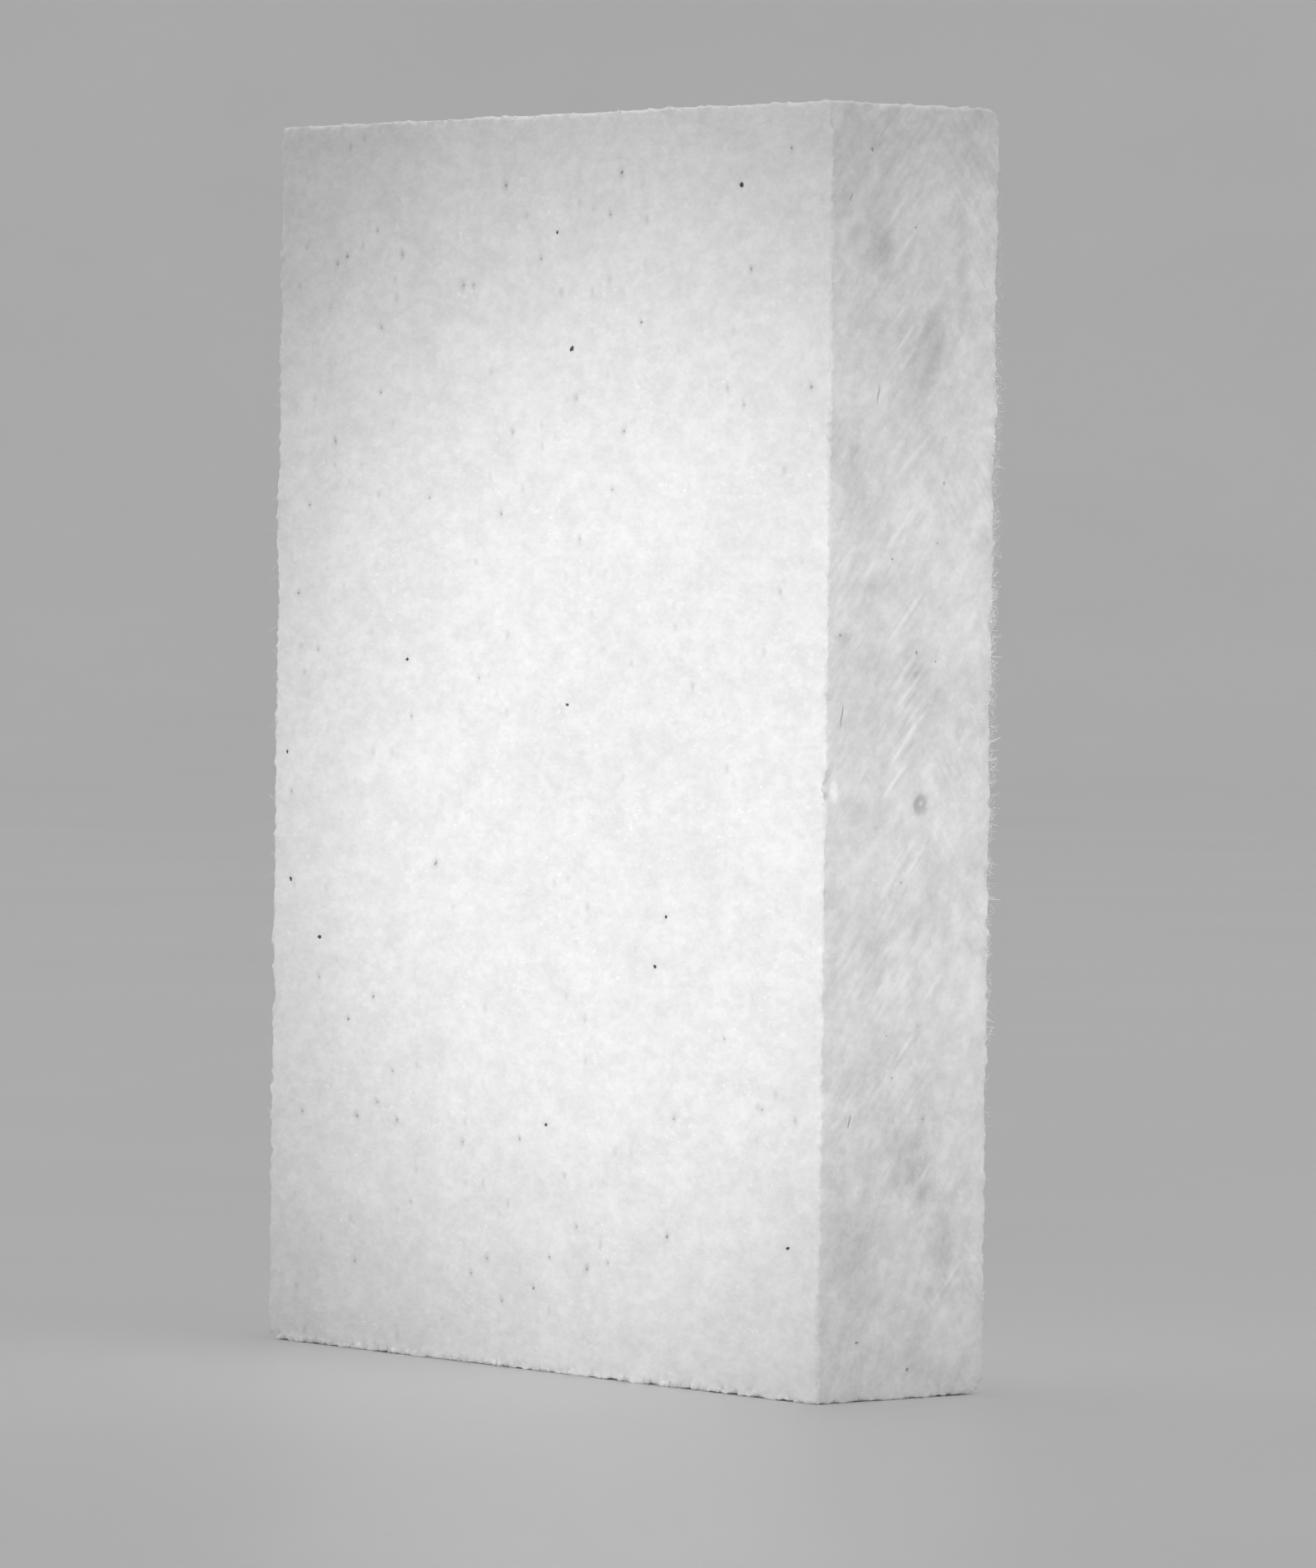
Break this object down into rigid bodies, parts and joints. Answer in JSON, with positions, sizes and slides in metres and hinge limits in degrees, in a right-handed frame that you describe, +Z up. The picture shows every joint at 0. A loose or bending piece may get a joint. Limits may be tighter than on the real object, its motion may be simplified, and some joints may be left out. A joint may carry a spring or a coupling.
{
  "type": "gymnastics chalk block",
  "caption": "Flat slab of pressed white chalk that a gymnast rubs on the hands for grip, standing on a short end, with dark grit specks and stray fibres in its surface.",
  "frame": {"origin": "centre of the foot, the short end that the block stands on", "axes": "+Z up the long side, +X across the width towards the sawn side with the burst bubble, +Y through the thickness, so the wide front face looks along -Y"},
  "size_m": [0.053, 0.0137, 0.0762],
  "materials": {
    "pressed_chalk": "matte, powdery",
    "dark_grit": "matte",
    "pale_fibre": "soft sheen"
  },
  "bodies": {
    "root": {"chalk_block": "pressed_chalk", "grit_specks": "dark_grit", "stray_fibres": "pale_fibre"}
  },
  "joints": []
}
